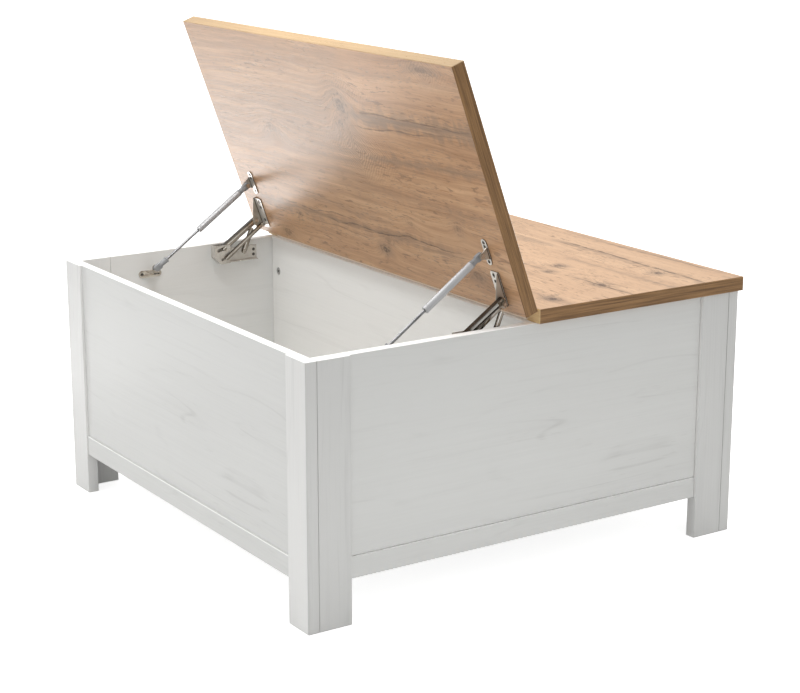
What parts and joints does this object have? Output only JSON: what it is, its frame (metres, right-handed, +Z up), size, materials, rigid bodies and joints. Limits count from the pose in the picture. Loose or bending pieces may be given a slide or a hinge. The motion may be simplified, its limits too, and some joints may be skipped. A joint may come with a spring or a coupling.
{
  "type": "storage coffee table",
  "caption": "Square storage coffee table: white-washed box on corner legs under an oak top, whose front half lifts on multi-link hinges and gas struts over a deep well.",
  "frame": {"origin": "on the floor under the middle of the box", "axes": "+Z up, +X to the right seen from the lid's side, +Y to the back, where the top is fixed"},
  "size_m": [0.9, 0.894, 0.8895],
  "materials": {
    "white_pine": "white-washed, faint grain",
    "oak": "knotty cracked oak, matt",
    "nickel": "nickel-plated stamped sheet",
    "spring_steel": "drawn wire",
    "cam_zinc": "dull die-cast zinc",
    "grey_plastic": "moulded, matt",
    "silver_cylinder": "satin silver",
    "rod_steel": "ground and polished"
  },
  "bodies": {
    "body": {"leg_front_left_face": "white_pine", "leg_front_left_flank": "white_pine", "leg_front_right_face": "white_pine", "leg_front_right_flank": "white_pine", "leg_back_left_face": "white_pine", "leg_back_left_flank": "white_pine", "leg_back_right_face": "white_pine", "leg_back_right_flank": "white_pine", "panel_front": "white_pine", "rail_front": "white_pine", "panel_back": "white_pine", "rail_back": "white_pine", "panel_left": "white_pine", "rail_left": "white_pine", "panel_right": "white_pine", "rail_right": "white_pine", "floor": "white_pine", "partition": "white_pine", "top_fixed": "oak", "cam_left_upper": "cam_zinc", "cam_left_lower": "cam_zinc", "cam_right_upper": "cam_zinc", "cam_right_lower": "cam_zinc", "hinge_left_base": "nickel", "hinge_left_link_pin": "nickel", "strut_left_wall_bracket": "nickel", "hinge_right_base": "nickel", "hinge_right_link_pin": "nickel", "strut_right_wall_bracket": "nickel"},
    "lid": {"lid": "oak", "hinge_left_lid_bracket": "nickel", "hinge_left_upper_pin": "nickel", "hinge_left_lower_pin": "nickel", "strut_left_lid_bracket": "nickel", "strut_left_lid_pin": "nickel", "hinge_right_lid_bracket": "nickel", "hinge_right_upper_pin": "nickel", "hinge_right_lower_pin": "nickel", "strut_right_lid_bracket": "nickel", "strut_right_lid_pin": "nickel"},
    "upper_arm_left": {"hinge_left_upper_arm": "nickel", "hinge_left_spring": "spring_steel"},
    "lower_arm_left": {"hinge_left_lower_arm": "nickel"},
    "short_link_left": {"hinge_left_short_link": "nickel"},
    "cylinder_left": {"strut_left_cylinder": "silver_cylinder", "strut_left_cylinder_end": "grey_plastic"},
    "rod_left": {"strut_left_rod": "rod_steel", "strut_left_rod_end": "grey_plastic"},
    "upper_arm_right": {"hinge_right_upper_arm": "nickel", "hinge_right_spring": "spring_steel"},
    "lower_arm_right": {"hinge_right_lower_arm": "nickel"},
    "short_link_right": {"hinge_right_short_link": "nickel"},
    "cylinder_right": {"strut_right_cylinder": "silver_cylinder", "strut_right_cylinder_end": "grey_plastic"},
    "rod_right": {"strut_right_rod": "rod_steel", "strut_right_rod_end": "grey_plastic"}
  },
  "joints": [
    {"name": "lid_lift", "type": "hinge", "parent": "body", "child": "lid", "pos_m": [0, -0.006, 0.472], "axis": [-1, 0, 0], "range_deg": [-70, 0], "stiffness_Nm_per_rad": 3, "springref_deg": 126.05},
    {"name": "upper_arm_left", "type": "hinge", "parent": "lid", "child": "upper_arm_left", "pos_m": [-0.4128, -0.05129, 0.48797], "axis": [-1, 0, 0], "range_deg": [0, 106.67]},
    {"name": "lower_arm_left", "type": "hinge", "parent": "lid", "child": "lower_arm_left", "pos_m": [-0.4037, -0.04124, 0.47876], "axis": [-1, 0, 0], "range_deg": [0, 94.33]},
    {"name": "short_link_left", "type": "hinge", "parent": "body", "child": "short_link_left", "pos_m": [-0.4196, -0.074, 0.426], "axis": [-1, 0, 0], "range_deg": [0, 49.95]},
    {"name": "strut_left_swing", "type": "hinge", "parent": "lid", "child": "cylinder_left", "pos_m": [-0.3918, -0.0798, 0.5622], "axis": [-1, 0, 0], "range_deg": [0, 100.84]},
    {"name": "strut_left_stroke", "type": "slide", "parent": "cylinder_left", "child": "rod_left", "axis": [0, -0.8172, -0.5763], "range_m": [-0.08051, 0]},
    {"name": "upper_arm_right", "type": "hinge", "parent": "lid", "child": "upper_arm_right", "pos_m": [0.4128, -0.05129, 0.48797], "axis": [-1, 0, 0], "range_deg": [0, 106.67]},
    {"name": "lower_arm_right", "type": "hinge", "parent": "lid", "child": "lower_arm_right", "pos_m": [0.4037, -0.04124, 0.47876], "axis": [-1, 0, 0], "range_deg": [0, 94.33]},
    {"name": "short_link_right", "type": "hinge", "parent": "body", "child": "short_link_right", "pos_m": [0.4196, -0.074, 0.426], "axis": [-1, 0, 0], "range_deg": [0, 49.95]},
    {"name": "strut_right_swing", "type": "hinge", "parent": "lid", "child": "cylinder_right", "pos_m": [0.3918, -0.0798, 0.5622], "axis": [-1, 0, 0], "range_deg": [0, 100.84]},
    {"name": "strut_right_stroke", "type": "slide", "parent": "cylinder_right", "child": "rod_right", "axis": [0, -0.8172, -0.5763], "range_m": [-0.08051, 0]}
  ],
  "couplings": [
    {"joint": "upper_arm_left", "follows": "lid_lift", "ratio": -1.5237},
    {"joint": "lower_arm_left", "follows": "lid_lift", "ratio": -1.3474},
    {"joint": "short_link_left", "follows": "lid_lift", "ratio": -0.71341},
    {"joint": "strut_left_swing", "follows": "lid_lift", "ratio": -1.4405},
    {"joint": "strut_left_stroke", "follows": "lid_lift", "m_per_rad": 0.065893},
    {"joint": "upper_arm_right", "follows": "lid_lift", "ratio": -1.5237},
    {"joint": "lower_arm_right", "follows": "lid_lift", "ratio": -1.3474},
    {"joint": "short_link_right", "follows": "lid_lift", "ratio": -0.71341},
    {"joint": "strut_right_swing", "follows": "lid_lift", "ratio": -1.4405},
    {"joint": "strut_right_stroke", "follows": "lid_lift", "m_per_rad": 0.065893}
  ]
}
